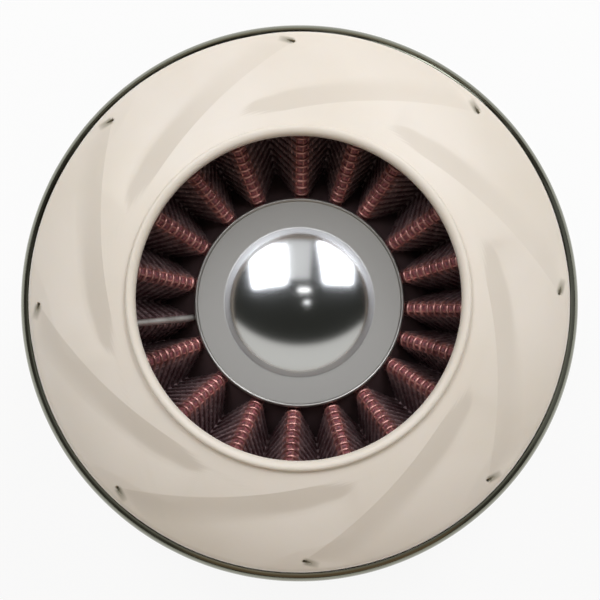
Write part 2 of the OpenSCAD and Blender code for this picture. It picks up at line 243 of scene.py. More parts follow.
# %% [markdown]
# ## The front cap
# The cap is cast in a cream polyurethane, poured round the pleats' ends in a mould. Its face
# has eight shallow spiral grooves, each with one crisp side that faces the opening, and a
# small sunken mark where it starts. Cutting them with a Boolean would leave long thin faces
# that shade badly. Here the face is spun fine, its columns of points are twisted until they
# follow the grooves' crisp sides, and the points are then lowered by a formula.

# %% The groove's plan
GROOVES = 8
GROOVE_AT = 1.0
GROOVE_START_R = 59.4
GROOVE_END_R = 41.6
GROOVE_SWEEP = math.radians(58)
GROOVE_BOW = 3.0


def groove_side(t):
    """The crisp side of the first groove, from its outer end at 0 to its inner end at 1."""
    s = np.array([GROOVE_START_R, 0.0])
    e = GROOVE_END_R * np.array([math.cos(GROOVE_SWEEP), math.sin(GROOVE_SWEEP)])
    d = e - s
    t = np.asarray(t)[..., None]
    return s + t * d + 4 * t * (1 - t) * GROOVE_BOW * np.array([d[1], -d[0]]) / np.linalg.norm(d)


side_t = np.linspace(0, 1, 241)
side = groove_side(side_t)
side_r = np.hypot(side[:, 0], side[:, 1])
side_a = np.arctan2(side[:, 1], side[:, 0])
side_d = np.gradient(side, axis=0)
side_d /= np.linalg.norm(side_d, axis=1)[:, None]
print("groove from radius", round(side_r[0], 1), "to", round(side_r[-1], 1))

# %% [markdown]
# How far a point of the face is lowered depends on how far along the groove it lies, and how
# far out from the crisp side. At the crisp side the face bends down by about ten degrees,
# like the back of a turbine blade. Near the rim it levels out softly and comes up again very
# slowly over the land beyond. Near the opening the groove narrows to a rounded leaf tip.
# Where a value below is a pair, it goes from the first near the rim to the second near the
# opening. Widths and lengths are in millimetres, and shares are of the groove's own width.

# %% The groove's depth
GROOVE_LENGTH = 51.0
GROOVE_W = 6.0
GROOVE_FALL = 0.18
BEND_SHARE = (0.3, 0.6)
FLAT_SHARE = (1.1, 0.9)
LAND_W = (16.0, 8.0)
GROOVE_SHADE_SHARE = (0.4, 1.0)
TIP_FROM = 0.78
TIP_TURN = 0.88
TIP_TO = 1.03
TIP_INSET = 1.2
TIP_SOFT = 0.25
EDGE_SOFT = 0.02


def smooth(x, lo, hi):
    """Goes softly from 0 at lo to 1 at hi."""
    x = np.clip((x - lo) / (hi - lo), 0, 1)
    return x * x * (3 - 2 * x)


def groove_shape(x, y):
    """Depth below the plain crown at points of the plan, and how much each lies in the groove."""
    k = np.concatenate([
        ((px[:, None] - side[:, 0]) ** 2 + (py[:, None] - side[:, 1]) ** 2).argmin(axis=1)
        for px, py in zip(np.array_split(x, 16), np.array_split(y, 16))
    ])
    dx, dy = x - side[k, 0], y - side[k, 1]
    beyond = dx * side_d[k, 0] + dy * side_d[k, 1]
    t = side_t[k] + beyond / GROOVE_LENGTH
    tip = smooth(t, TIP_TURN, TIP_TO)
    across = np.maximum(dx * side_d[k, 1] - dy * side_d[k, 0] - TIP_INSET * tip, 0)
    across = across**2 / (across + TIP_SOFT * tip + 0.001)
    round_end = np.clip((t - TIP_FROM) / (TIP_TO - TIP_FROM), 0, 0.999)
    wide = np.maximum(GROOVE_W * smooth(t, -0.02, 0.16) * np.sqrt(1 - round_end**2), 0.01)
    inner = smooth(t, 0.3, 0.8)
    # dust is the share of the band that the material paints darker, as painted shade in the groove.
    bend, flat, land_w, dust = (
        rim_value + (inner_value - rim_value) * inner
        for rim_value, inner_value in (BEND_SHARE, FLAT_SHARE, LAND_W, GROOVE_SHADE_SHARE)
    )
    share = np.minimum(across / wide, flat)
    level = share - np.maximum(share - bend, 0) ** 2 / (2 * (flat - bend))
    land = 1 - np.clip((across - wide) / land_w, 0, 1)
    inside = smooth(across, 0, EDGE_SOFT + TIP_SOFT * tip) * smooth(wide, 0, 2)
    inside *= 1 - smooth(share, bend + 0.1, flat)
    return GROOVE_FALL * wide * level * land, inside * dust


MARK_WAY = (0.3, 0.954)
MARK_DEPTH = 1.3
MARK_FROM = -0.3
PIT_LENGTH = 2.1
PIT_HALF_W = 0.4
TAIL_LENGTH = 3.8
TAIL_TINT = 0.8


def mark_shape(x, y):
    """Share of depth and of painted colour in the mark at the groove's outer end: a deep pit painted dark,
    as painted shade, and a pale olive tail.
    """
    u = (x - GROOVE_START_R) * MARK_WAY[0] + y * MARK_WAY[1]
    v = np.abs((x - GROOVE_START_R) * MARK_WAY[1] - y * MARK_WAY[0])
    half = PIT_HALF_W * np.clip(1 - u / (PIT_LENGTH + 0.3), 0.05, 1)
    depth = smooth(u, MARK_FROM, 0.1) * np.clip(1 - u / PIT_LENGTH, 0, 1)
    depth *= 1 - smooth(v / half, 0.3, 1.1)
    tail = smooth(u, MARK_FROM, 0.8) * np.clip(1 - u / TAIL_LENGTH, 0, 1) ** 0.6
    tail *= 1 - smooth(v, 0.3, 1.1)
    # In the pit the paint follows the depth, as painted shade; the tail adds a paler olive beyond it.
    return depth, np.maximum(depth, TAIL_TINT * tail)


# %% [markdown]
# The section starts at the foot of the outer wall, which leans in a little so that the cap
# leaves its mould. It goes round over the edge, the face, the bead and the lip, and back
# along the hidden seats of the two pleated packs.

# %% The cap's section
DRAFT = 0.5
WALL_TOP_Z = 139
FACE_STEP = 0.15
FACE_FINE_R = 57.7
FACE_INNER_R = 38.62
BEAD_OUTER_FILLET = 0.75
BEAD_INNER_FILLET = 1.55
BEAD_TOP_R = OPENING_R + BEAD_INNER_FILLET
outer_wall = line((CAP_R, CAP_Z), (CAP_R - DRAFT, WALL_TOP_Z), 8)
edge_r = CAP_R - DRAFT - CAP_EDGE
edge_c = (edge_r, crown_c.y + math.sqrt((CROWN_R - CAP_EDGE) ** 2 - (edge_r - crown_c.x) ** 2))
edge_turn = math.degrees(math.atan2(edge_c[1] - crown_c.y, edge_c[0] - crown_c.x))
edge = arc(edge_c, CAP_EDGE, 0, edge_turn, 8)
face_r = np.concatenate([
    np.arange(edge[-1][0] - FACE_STEP, FACE_FINE_R + 0.1, -FACE_STEP),
    np.linspace(FACE_FINE_R, FACE_INNER_R, 46),
])
face = [(float(r), float(crown_z(r))) for r in face_r]
bead = arc((BEAD_TOP_R, FRONT_Z - BEAD_OUTER_FILLET), BEAD_OUTER_FILLET, -30, 90, 10)
bead += arc((BEAD_TOP_R, FRONT_Z - BEAD_INNER_FILLET), BEAD_INNER_FILLET, 90, 180, 12)[1:]
lip = [(LIP_R, FRONT_Z - x) for x in (2.2, 3.2, LIP_DEPTH)]
inlet_seat = [(43.6, 144.5), (53.2, 134.2), (46.0, 127.6), (48.5, 127.6)]
outer_seat = [(48.5, 130), (61.2, 130), (61.2, CAP_Z)]
cap_section = outer_wall + edge + face + bead + lip + inlet_seat + outer_seat
print("cap section of", len(cap_section), "points")

# %% [markdown]
# The columns of the spun face are first drawn together near the crisp sides, where the shape
# changes fastest, and then twisted along them. Each point is lowered by its own groove and by
# the neighbours that reach it. On the outer wall the depth fades out downwards, so that the
# grooves end under the trim ring.

# %% The cap, spun, twisted and grooved
COLUMNS = 96
DRAW_IN = 0.75
FACE_FROM_R = 38.7
WALL_FROM_R = 61.5
FADE_Z = 134.5
NEIGHBOURS = 3
cap = turned(cap_section, GROOVES * COLUMNS)
points = np.array([v.co for v in cap.verts]) / MM
radius = np.hypot(points[:, 0], points[:, 1])
turn = np.arctan2(points[:, 1], points[:, 0])
pitch = math.tau / GROOVES
local = np.mod(turn / pitch, 1.0)
sector = np.floor(np.mod(turn, math.tau) / pitch)
drawn = (sector + local - DRAW_IN / math.tau * np.sin(math.tau * local)) * pitch
twist = np.interp(np.clip(radius, side_r[-1], side_r[0]), side_r[::-1], side_a[::-1])
turn = drawn + twist + math.radians(GROOVE_AT)
local_turn = np.mod(turn - math.radians(GROOVE_AT), pitch)
shell = (radius > FACE_FROM_R) & (points[:, 2] > FADE_Z)
grooved, shaded, marked, pit_shade_and_tail = np.zeros((4, len(points)))
for k in range(-NEIGHBOURS, NEIGHBOURS + 1):
    x = radius[shell] * np.cos(local_turn[shell] + k * pitch)
    y = radius[shell] * np.sin(local_turn[shell] + k * pitch)
    depth, inside = groove_shape(x, y)
    grooved[shell] += depth
    shaded[shell] = np.maximum(shaded[shell], inside)
    pit, shade_and_tail = mark_shape(x, y)
    marked[shell] = np.maximum(marked[shell], pit)
    pit_shade_and_tail[shell] = np.maximum(pit_shade_and_tail[shell], shade_and_tail)
fade = np.where(radius > WALL_FROM_R, smooth(points[:, 2], FADE_Z, WALL_TOP_Z), 1)
lowered = (grooved + MARK_DEPTH * marked) * fade
for v, r, a, z, d in zip(cap.verts, radius, turn, points[:, 2], lowered):
    v.co = Vector((r * math.cos(a), r * math.sin(a), z - d)) * MM
bmesh.ops.recalc_face_normals(cap, faces=cap.faces)
print("lowered", int((lowered > 0.01).sum()), "of", len(points), "points,",
      "most by", round(lowered.max(), 2), "mm")

# %% [markdown]
# Cast polyurethane is a dense cream plastic with a soft, slightly waxy gloss. It is a little
# translucent, so its shadows stay warm, and its skin has a very fine mould texture and faint
# clouds of colour. The grooves' bands are painted a shade darker, as painted shade, and each
# mark's pit is painted dark olive, as painted shade, with a paler olive tail running on from it.
# Two attributes of the piece tell the material where.

# %% The cap's polyurethane
cream, tree, shader = surface("cast cream polyurethane", "E4DACD", 0.42, IOR=1.5,
                              Subsurface_Weight=0.12, Subsurface_Radius=(0.004, 0.003, 0.002),
                              Subsurface_Scale=1.0, Specular_IOR_Level=0.45)
where = add(tree, "TexCoord").outputs["Object"]
clouds = add(tree, "TexNoise", Vector=where, Scale=1 / (40 * MM), Detail=3.0, Roughness=0.5)
clouded = ramp(tree, clouds.outputs[0], (0.35, "E3D8C8"), (0.65, "E9DFD2"))
# The grooves' bands are mixed towards a darker cream, as painted shade.
groove_shade = add(tree, "Attribute", {"attribute_name": "groove"})
groove_shaded = add(tree, "Mix", {"data_type": "RGBA"}, Factor=groove_shade.outputs["Fac"], i6=clouded,
           i7=linear("DCD1C2"))
# The marks are mixed towards dark olive: fully in each pit, as painted shade, and partly along the tail.
mark_shade_and_tail = add(tree, "Attribute", {"attribute_name": "mark"})
with_mark_shade = add(tree, "Mix", {"data_type": "RGBA"}, Factor=mark_shade_and_tail.outputs["Fac"], i6=groove_shaded.outputs[2],
            i7=linear("555028"))
grain = add(tree, "TexNoise", Vector=where, Scale=1 / (0.9 * MM), Detail=2.0)
patterned(tree, shader, colours=with_mark_shade.outputs[2], height=grain.outputs[0], strength=0.06, distance=0.0001)
print(cream.name, "with", len(tree.nodes), "nodes")

# %% The cap's object
front_cap = finished("cast_front_cap", cap, cream, ["front_cap"])
# The attribute groove holds the grooves' painted shade; mark holds the pits' painted shade and the olive
# tails.
for name, amount in (("groove", shaded), ("mark", np.clip(pit_shade_and_tail, 0, 1))):
    attribute = front_cap.data.attributes.new(name, "FLOAT", "POINT")
    attribute.data.foreach_set("value", amount.astype(np.float32))

# %% [markdown]
# ## The trim ring
# A thin ring of black rubber, extruded as a D section and stretched round the cap's edge. It
# is glossy, so its rounded top shows a bright line where it mirrors the pale surroundings.
# The line is stronger than plain rubber gives, as on a waxed ring, so the IOR is raised.

# %% The ring
RING_R = 65.0
RING_SECTION_R = 3.0
RING_DOWN = 6.2
RING_GAP = 0.05
ring_c = (RING_R - RING_SECTION_R, EDGE_Z - RING_DOWN)
flat_turn = math.degrees(math.acos((CAP_R + RING_GAP - ring_c[0]) / RING_SECTION_R))
trim = turned(arc(ring_c, RING_SECTION_R, -flat_turn, flat_turn, 22), steps=360)
rubber, tree, shader = surface("glossy black rubber", "100F0A", 0.2, IOR=2.45,
                               Specular_Tint=linear("E6E8D0"))
where = add(tree, "TexCoord").outputs["Object"]
smears = add(tree, "TexNoise", Vector=where, Scale=1 / (6 * MM), Detail=4.0)
gloss = add(tree, "MapRange", Value=smears.outputs[0], From_Min=0.35, From_Max=0.7,
            To_Min=0.12, To_Max=0.26)
patterned(tree, shader, roughness=gloss.outputs[0])
finished("rubber_trim_ring", trim, rubber, ["trim_ring"])

# %% [markdown]
# ## The pleated packs
# Each pack is a sheet of oiled red cotton gauze between two wire meshes, folded to and fro
# into a star. One formula gives the star's line at any height: over each ridge, down a
# straight flank, round the valley and up again. The gauze is that line extruded from one end
# of the pack to the other. The wires follow the same line, a little further out.

# %% The star's line
SHEET_T = 0.7
WIRE_T = 0.35
MESH_GAP = 0.05
HALF_SHEET = SHEET_T / 2 + MESH_GAP + WIRE_T
FOLD_R = 0.95
SEAM_DROP = 3.0


def fold_line(ridge, into, depth, at, seam, off, steps):
    """Points of a closed pleated line, and how deep each lies.

    The line runs off mm to the ridge side of the sheet's middle. The ridge at the seam is cut
    lower, to leave room for the seam's strip.
    """
    ro, ri = FOLD_R + off, FOLD_R - off
    mid_r = ridge[0] + into[0] * depth / 2
    top, low = HALF_SHEET + FOLD_R, depth - HALF_SHEET - FOLD_R
    rows = []
    for i, a0 in enumerate(at):
        j = (i + 1) % len(at)
        a1 = at[j] + (360 if j == 0 else 0)
        av = (a0 + a1) / 2
        half_pitch = mid_r * math.radians(av - a0)
        for side_of, centre, near in ((1, a0, i), (-1, a1, j)):
            ridge_w = top + (SEAM_DROP if near == seam else 0)
            fall = low - ridge_w
            lean = math.atan2(half_pitch, fall) - math.asin(2 * FOLD_R / math.hypot(half_pitch, fall))
            f = np.linspace(0, math.pi / 2 - lean, steps + 1)
            over = [(centre, side_of * ro * math.sin(x), ridge_w - ro * math.cos(x)) for x in f]
            under = [(av, -side_of * ri * math.sin(x), low + ri * math.cos(x)) for x in f]
            rows += over + under[::-1] if side_of == 1 else under[1:] + over[:0:-1]
    at_angle, u, w = np.array(rows).T
    r = ridge[0] + into[0] * w
    a = np.radians(at_angle) + u / r
    return np.stack([r * np.cos(a), r * np.sin(a), ridge[1] + into[1] * w], axis=1), w / depth


def pack(head, foot, into, depth, at, seam):
    """What a pack's pieces share: its two ends as radius and height, and its pleats."""
    head, foot = np.array(head), np.array(foot)
    return {"head": head, "foot": foot, "into": into, "depth": depth, "at": at, "seam": seam,
            "length": float(np.linalg.norm(foot - head))}


def pack_line(made, share, off, steps):
    """A pack's line at a share of the way from its head to its foot."""
    ridge = made["head"] + (made["foot"] - made["head"]) * share
    return fold_line(ridge, made["into"], made["depth"], made["at"], made["seam"], off, steps)


# %% [markdown]
# Each pack is given by the radius and height of its two ends and by the depth of its pleats.
# The inlet cone was folded by hand, so its 19 ridges stand at uneven angles, and its foot is
# cast a little way into the plug. The outer cone was folded by machine.

# %% The two packs
INLET_AT = [14, 32, 54, 70, 89, 112, 130, 150, 170, 188, 202, 224, 247, 267, 287, 305, 326, 341, 357]
INLET_SEAM = 9
INLET_HEAD = (44.0, 144.0)
INLET_FOOT = (24.6, 126.0)
INLET_DEPTH = 13.0
CAST_IN = 1.5
slope = np.subtract(INLET_FOOT, INLET_HEAD)
slope /= np.linalg.norm(slope)
inlet = pack(INLET_HEAD, INLET_FOOT, (-slope[1], slope[0]), INLET_DEPTH, INLET_AT, INLET_SEAM)
inlet["foot"] += slope * CAST_IN
inlet["length"] += CAST_IN

OUTER_PLEATS = 34
OUTER_HEAD = (60.745, 129.95)
OUTER_FOOT = (69.45, 45.05)
OUTER_DEPTH = 12.2
outer_at = [i * 360 / OUTER_PLEATS for i in range(OUTER_PLEATS)]
outer = pack(OUTER_HEAD, OUTER_FOOT, (-1.0, 0.0), OUTER_DEPTH, outer_at, seam=0)
print("inlet pack", round(inlet["length"], 1), "mm long, outer pack", round(outer["length"], 1), "mm")

# %% [markdown]
# The gauze is a closed sheet: its line runs down the outside, back up the inside and closes
# on itself. In the inlet cone the wires press into it, so between them it bulges out by a
# tenth of a millimetre. Each point also keeps its distance round and along the sheet, which
# become the UV map that the weave of the cotton follows.

# %% Extruding a line through others
def drawn_through(loops, rounds, alongs, deeps):
    """A closed strip: the first loop, extruded through all the others and back to itself."""
    bm = bmesh.new()
    layers = [bm.verts.layers.float.new(name) for name in ("round", "along", "deep")]
    row = bmesh.ops.create_circle(bm, segments=len(loops[0]), radius=1)["verts"]
    edges = list(bm.edges)
    for n, (loop, along) in enumerate(zip(loops + loops[:1], alongs + alongs[:1])):
        if n:
            made = bmesh.ops.extrude_edge_only(bm, edges=edges)["geom"]
            fresh = [g for g in made if isinstance(g, bmesh.types.BMVert)]
            place = {v: i for i, v in enumerate(row)}
            row = sorted(fresh, key=lambda v: min(place.get(e.other_vert(v), 1e9) for e in v.link_edges))
            known = set(row)
            edges = [g for g in made if isinstance(g, bmesh.types.BMEdge) and known.issuperset(g.verts)]
        for i, v in enumerate(row):
            v.co = Vector(loop[i]) * MM
            v[layers[0]], v[layers[1]], v[layers[2]] = rounds[i], along, deeps[i]
    bmesh.ops.remove_doubles(bm, verts=bm.verts, dist=1e-7)
    bmesh.ops.recalc_face_normals(bm, faces=bm.faces)
    return bm


def gauze(name, made, wire_pitch, rows_per_wire, bulge, steps, material, node):
    """The cotton sheet of a pack."""
    wires = round(made["length"] / wire_pitch)
    shares = np.linspace(0, 1, wires * rows_per_wire + 1)
    middle, deeps = pack_line(made, 0.5, 0, steps)
    rounds = np.concatenate([[0], np.cumsum(np.linalg.norm(np.diff(middle, axis=0), axis=1))])
    total = float(rounds[-1] + np.linalg.norm(middle[0] - middle[-1]))
    swell = bulge * np.abs(np.sin(math.pi * wires * shares))
    outside = [pack_line(made, x, SHEET_T / 2 + b, steps)[0] for x, b in zip(shares, swell)]
    inside = [pack_line(made, x, -SHEET_T / 2, steps)[0] for x in (1, 0)]
    alongs = [x * made["length"] for x in shares] + [made["length"], 0]
    bm = drawn_through(outside + inside, rounds, alongs, deeps)
    cloth = finished(name, bm, material, [node], crease=60)
    mesh = cloth.data
    corner = np.zeros(len(mesh.loops), int)
    mesh.loops.foreach_get("vertex_index", corner)
    values = {}
    for key in ("round", "along"):
        values[key] = np.zeros(len(mesh.vertices))
        mesh.attributes[key].data.foreach_get("value", values[key])
    u, v = values["round"][corner].reshape(-1, 4), values["along"][corner].reshape(-1, 4)
    u[(u.max(axis=1) - u.min(axis=1) > total / 2)[:, None] & (u < total / 2)] += total
    uv = mesh.uv_layers.new(name="sheet")
    pairs = np.stack([u.ravel(), v.ravel()], axis=1).ravel() * MM
    uv.data.foreach_set("uv", pairs.astype(np.float32))


# %% [markdown]
# Oiled cotton gauze is an open weave of soft threads, about 1.2 mm apart when layered and
# wet. The red oil makes it dark crimson with a damp gloss. Down the flanks its colour is
# painted a paler grey, as painted sheen, and a little darker again into the valleys, as
# painted shade. Two waves at right angles in the sheet's UV map make the threads, and a
# fine noise makes their fibres.

# %% The gauze's material
def shaded_towards_cap(tree, colour):
    """A colour that is painted darker towards the front cap, as painted shade under its lip, and lighter
    near the disc, as painted light.
    """
    place = add(tree, "SeparateXYZ", Vector=add(tree, "TexCoord").outputs["Object"])
    share = add(tree, "MapRange", Value=place.outputs["Z"], From_Min=129 * MM, From_Max=143 * MM,
                To_Min=1.35, To_Max=0.85)
    return add(tree, "VectorMath", {"operation": "SCALE"}, i0=colour, i3=share.outputs[0]).outputs[0]


THREAD = 1.2
cotton, tree, shader = surface("oiled red cotton gauze", "6E1E26", 0.5, IOR=1.45, Specular_IOR_Level=0.4)
sheet_uv = add(tree, "UVMap", {"uv_map": "sheet"}).outputs[0]
threads = []
for direction in ("X", "Y"):
    wave = add(tree, "TexWave", {"bands_direction": direction, "wave_profile": "SIN"}, Vector=sheet_uv,
               Scale=math.tau / (20 * THREAD * MM), Distortion=1.2, Detail=2.0, Detail_Scale=1.5)
    threads.append(wave.outputs["Fac"])
weave = add(tree, "Math", {"operation": "MAXIMUM"}, i0=threads[0], i1=threads[1]).outputs[0]
fibres = add(tree, "TexNoise", Vector=sheet_uv, Scale=1 / (0.5 * MM), Detail=4.0)
height = add(tree, "Math", {"operation": "MULTIPLY_ADD"}, i0=fibres.outputs[0], i1=0.5, i2=weave).outputs[0]
deep = add(tree, "Attribute", {"attribute_name": "deep"}).outputs["Fac"]
# The tone by depth is painted sheen and shade: crimson on the ridges, a paler grey down the flanks, a
# little darker in the valleys.
tone = ramp(tree, deep, (0.08, "864E50"), (0.17, "8C7272"), (0.34, "7C6666"), (0.7, "7A6666"))
gap = add(tree, "MapRange", Value=weave, From_Min=0.2, From_Max=0.9, To_Min=0.6, To_Max=0.0)
soaked = add(tree, "Mix", {"data_type": "RGBA"}, Factor=gap.outputs[0], i6=tone,
             i7=linear("442E36"))
gloss = add(tree, "MapRange", Value=fibres.outputs[0], From_Min=0.3, From_Max=0.7,
            To_Min=0.32, To_Max=0.6)
patterned(tree, shader, colours=shaded_towards_cap(tree, soaked.outputs[2]), roughness=gloss.outputs[0],
          height=height, strength=0.6, distance=0.0003)
print(cotton.name, "with", len(tree.nodes), "nodes")

# %% The two sheets of gauze
INLET_PITCH = 2.0
OUTER_PITCH = 2.6
gauze("inlet_cotton_gauze", inlet, INLET_PITCH, rows_per_wire=4, bulge=0.1, steps=5,
      material=cotton, node="inlet_gauze")
gauze("outer_cotton_gauze", outer, OUTER_PITCH, rows_per_wire=1, bulge=0.0, steps=4,
      material=cotton, node="outer_gauze")

# %% [markdown]
# ## The wire meshes
# Aluminium screen holds the gauze in its folds: wires that run round the star, 2 mm apart in
# the inlet cone, and thinner ones that run straight along the pleats, a little deeper. Each
# is a curve with a round bevel, which gives even tubes that follow the folds, and is then
# turned into a mesh.

# %% Making a wire mesh
END_GAP = 0.004
LONG_STEPS = 6
LONG_THICKNESS = 0.6
LONG_SUNK = 0.4


def netting(name, made, pitch, off, wire_r, steps, resolution, material, node):
    """Round and lengthwise wires on one side of a pack's sheet."""
    curve = bpy.data.curves.new(name, "CURVE")
    curve.dimensions = "3D"
    curve.bevel_depth = wire_r * MM
    curve.bevel_resolution = resolution
    curve.use_fill_caps = True

    def wire(points, cyclic, thickness=1.0):
        spline = curve.splines.new("POLY")
        spline.points.add(len(points) - 1)
        flat = np.column_stack([np.array(points) * MM, np.ones(len(points))])
        spline.points.foreach_set("co", flat.ravel())
        spline.points.foreach_set("radius", [thickness] * len(points))
        spline.use_cyclic_u = cyclic

    wires = round(made["length"] / pitch)
    for share in (np.arange(wires) + 0.5) / wires:
        wire(pack_line(made, share, off, steps)[0], True)
    middle = pack_line(made, 0.5, off, LONG_STEPS)[0]
    run = np.concatenate([[0], np.cumsum(np.linalg.norm(np.diff(middle, axis=0), axis=1))])
    count = round(float(run[-1]) / pitch)
    sunk = off - math.copysign(LONG_SUNK, off) * wire_r
    ends = [pack_line(made, share, sunk, LONG_STEPS)[0] for share in (END_GAP, 1 - END_GAP)]
    for place in np.interp((np.arange(count) + 0.5) / count * run[-1], run, np.arange(len(run))):
        i, f = int(place), place - int(place)
        after = min(i + 1, len(run) - 1)
        wire([end[i] * (1 - f) + end[after] * f for end in ends], False, LONG_THICKNESS)
    holder = bpy.data.objects.new(name + "_curve", curve)
    scene.collection.objects.link(holder)
    bpy.context.view_layer.update()
    mesh = bpy.data.meshes.new_from_object(holder.evaluated_get(bpy.context.evaluated_depsgraph_get()))
    bm = bmesh.new()
    bm.from_mesh(mesh)
    bpy.data.objects.remove(holder)
    bpy.data.meshes.remove(mesh)
    bpy.data.curves.remove(curve)
    bmesh.ops.recalc_face_normals(bm, faces=bm.faces)
    deep = bm.verts.layers.float.new("deep")
    down = (made["foot"] - made["head"]) / made["length"]
    basis = np.linalg.inv(np.column_stack([down, made["into"]]))
    for v in bm.verts:
        offset = np.array((math.hypot(v.co.x, v.co.y) / MM, v.co.z / MM)) - made["head"]
        v[deep] = float((basis @ offset)[1]) / made["depth"]
    finished(name, bm, material, [node], crease=80)


# %% [markdown]
# The wires are drawn aluminium, wet with the same red oil. Their colour is painted pale pink
# on the ridges, as painted highlight, and a darker wine grey down into the valleys, as painted shade.

# %% The wires' material
wire_metal, tree, shader = surface("oiled aluminium wire", "A35A60", 0.3, Metallic=0.8)
where = add(tree, "TexCoord").outputs["Object"]
film = add(tree, "TexNoise", Vector=where, Scale=1 / (3 * MM), Detail=3.0)
deep = add(tree, "Attribute", {"attribute_name": "deep"}).outputs["Fac"]
# sunk here is the wires' colour by depth: pale pink on the ridges as painted highlight, darker wine grey
# into the valleys as painted shade.
sunk = ramp(tree, deep, (0.07, "CC968E"), (0.17, "AA8E8C"), (0.36, "827070"), (0.7, "766464"))
thin = add(tree, "MapRange", Value=film.outputs[0], From_Min=0.4, From_Max=0.65,
           To_Min=0.5, To_Max=0.0)
oily = add(tree, "Mix", {"data_type": "RGBA"}, Factor=thin.outputs[0], i6=sunk, i7=linear("4A1C22"))
gloss = add(tree, "MapRange", Value=film.outputs[0], From_Min=0.3, From_Max=0.7,
            To_Min=0.28, To_Max=0.45)
patterned(tree, shader, colours=shaded_towards_cap(tree, oily.outputs[2]), roughness=gloss.outputs[0])
print(wire_metal.name, "with", len(tree.nodes), "nodes")

# %% The four wire meshes
FACE_OFF = SHEET_T / 2
netting("inlet_wire_front", inlet, INLET_PITCH, FACE_OFF + 0.26, wire_r=0.38, steps=5, resolution=1,
        material=wire_metal, node="inlet_mesh_front")
netting("inlet_wire_back", inlet, INLET_PITCH, -FACE_OFF - 0.2, wire_r=0.18, steps=3, resolution=0,
        material=wire_metal, node="inlet_mesh_back")
netting("outer_wire_outside", outer, OUTER_PITCH, FACE_OFF + 0.2, wire_r=0.2, steps=3, resolution=0,
        material=wire_metal, node="outer_mesh_outside")
netting("outer_wire_inside", outer, OUTER_PITCH, -FACE_OFF - 0.2, wire_r=0.18, steps=3, resolution=0,
        material=wire_metal, node="outer_mesh_inside")

# %% [markdown]
# ## The chrome centre
# A pressed steel disc with a low dome in its middle and a curled edge, chrome plated. The
# dome is polished like a mirror. The flange round it has a finer satin, so it shows the room
# only as a soft grey. The section is a cap of a ball, a fillet, the flange that rises to the
# curl, and the hollow under the dome.

# %% The disc's section
PLUG_Z = 126.41
DISC_FOOT_Z = PLUG_Z + 0.05
DISC_Z = PLUG_Z + 1.05
DISC_R = 25.0
DOME_H = 3.6
DOME_EDGE_R = 17.6
DOME_WALL = 1.6
BALL_R = 46.3
FILLET = 1.0
CURL_R = 0.48
ball_z = DISC_Z + DOME_H - BALL_R
edge_tilt = math.degrees(math.asin(DOME_EDGE_R / BALL_R))
dome = [(0.0, DISC_Z + DOME_H)] + arc((0, ball_z), BALL_R, 90, 90 - edge_tilt, 60)[1:]
lean = math.radians(edge_tilt)
fillet_c = (DOME_EDGE_R + FILLET * math.sin(lean), dome[-1][1] + FILLET * math.cos(lean))
fillet = arc(fillet_c, FILLET, 270 - edge_tilt, 272, 8)[1:]
curl = arc((DISC_R - 0.5, DISC_Z + 0.2), CURL_R, 165, 0, 12)
flange = line(fillet[-1], curl[0], 12)[1:]
inner_r = BALL_R - DOME_WALL
hollow = arc((0, ball_z), inner_r, math.degrees(math.asin((DISC_FOOT_Z - ball_z) / inner_r)), 90, 12)
hollow[-1] = (0.0, hollow[-1][1])
disc_section = dome + fillet + flange + curl + [(DISC_R, DISC_FOOT_Z)] + hollow
disc = turned(disc_section, 256, closed=False)
print("disc section of", len(disc_section), "points")

# %% [markdown]
# Chrome plate is a bright bluish metal. Its roughness is told by the distance from the axis:
# lowest on the dome, satin from the fillet outwards, and smoother again on the curl, which
# hands have rubbed. The flange's tone is duller too, with dust.

# %% The chrome and the disc's object
chrome, tree, shader = surface("bright chrome plate", "C9CBCC", 0.06, Metallic=1.0)
where = add(tree, "TexCoord").outputs["Object"]
flat_where = add(tree, "Mapping", Vector=where, Scale=(1.0, 1.0, 0.0))
from_axis = add(tree, "VectorMath", {"operation": "LENGTH"}, i0=flat_where.outputs[0])
out = from_axis.outputs["Value"]
satin = add(tree, "MapRange", {"interpolation_type": "SMOOTHSTEP"}, Value=out,
            From_Min=15.7 * MM, From_Max=17.3 * MM, To_Min=0.13, To_Max=0.48)
rubbed = add(tree, "MapRange", Value=out, From_Min=23.9 * MM, From_Max=24.2 * MM,
             To_Min=0.0, To_Max=0.12)
rough = add(tree, "Math", {"operation": "SUBTRACT"}, i0=satin.outputs[0], i1=rubbed.outputs[0])
dust = add(tree, "TexNoise", Vector=where, Scale=1 / (2.5 * MM), Detail=4.0)
tone = add(tree, "MapRange", Value=out, From_Min=17.4 * MM, From_Max=18.1 * MM)
plate = add(tree, "Mix", {"data_type": "RGBA"}, Factor=tone.outputs[0], i6=linear("D6D7D8"),
            i7=linear("A4A19C"))
patterned(tree, shader, colours=plate.outputs[2], roughness=rough.outputs[0],
          height=dust.outputs[0], strength=0.01, distance=0.0001)
finished("chrome_centre_disc", disc, chrome, ["chrome_dome"])

# %% [markdown]
# ## Plug, seams, base and clamp
# These parts keep their CAD shapes and get finishes of their own. The plug that holds the
# inner ends of the pleats is cast black polyurethane; its colour is lifted to a dark reddish
# grey, as painted light in the deep shade between the pleats' feet. Its skin is a little
# uneven, as it sets in an open mould.

# %% The plug's polyurethane
# The colour is lifted from black to a dark reddish grey, as painted light in the shade round the plug.
plug_black, tree, shader = surface("black cast polyurethane", "4C3C3C", 0.5, IOR=1.5)
where = add(tree, "TexCoord").outputs["Object"]
skin = add(tree, "TexNoise", Vector=where, Scale=1 / (1.5 * MM), Detail=3.0)
patterned(tree, shader, height=skin.outputs[0], strength=0.15, distance=0.0002)
refinish("centre_plug", plug_black)

# %% [markdown]
# The strips that close the seams are sheet steel with a zinc plate. Zinc is a soft pale grey
# metal with cloudy blotches and hardly a mirror.

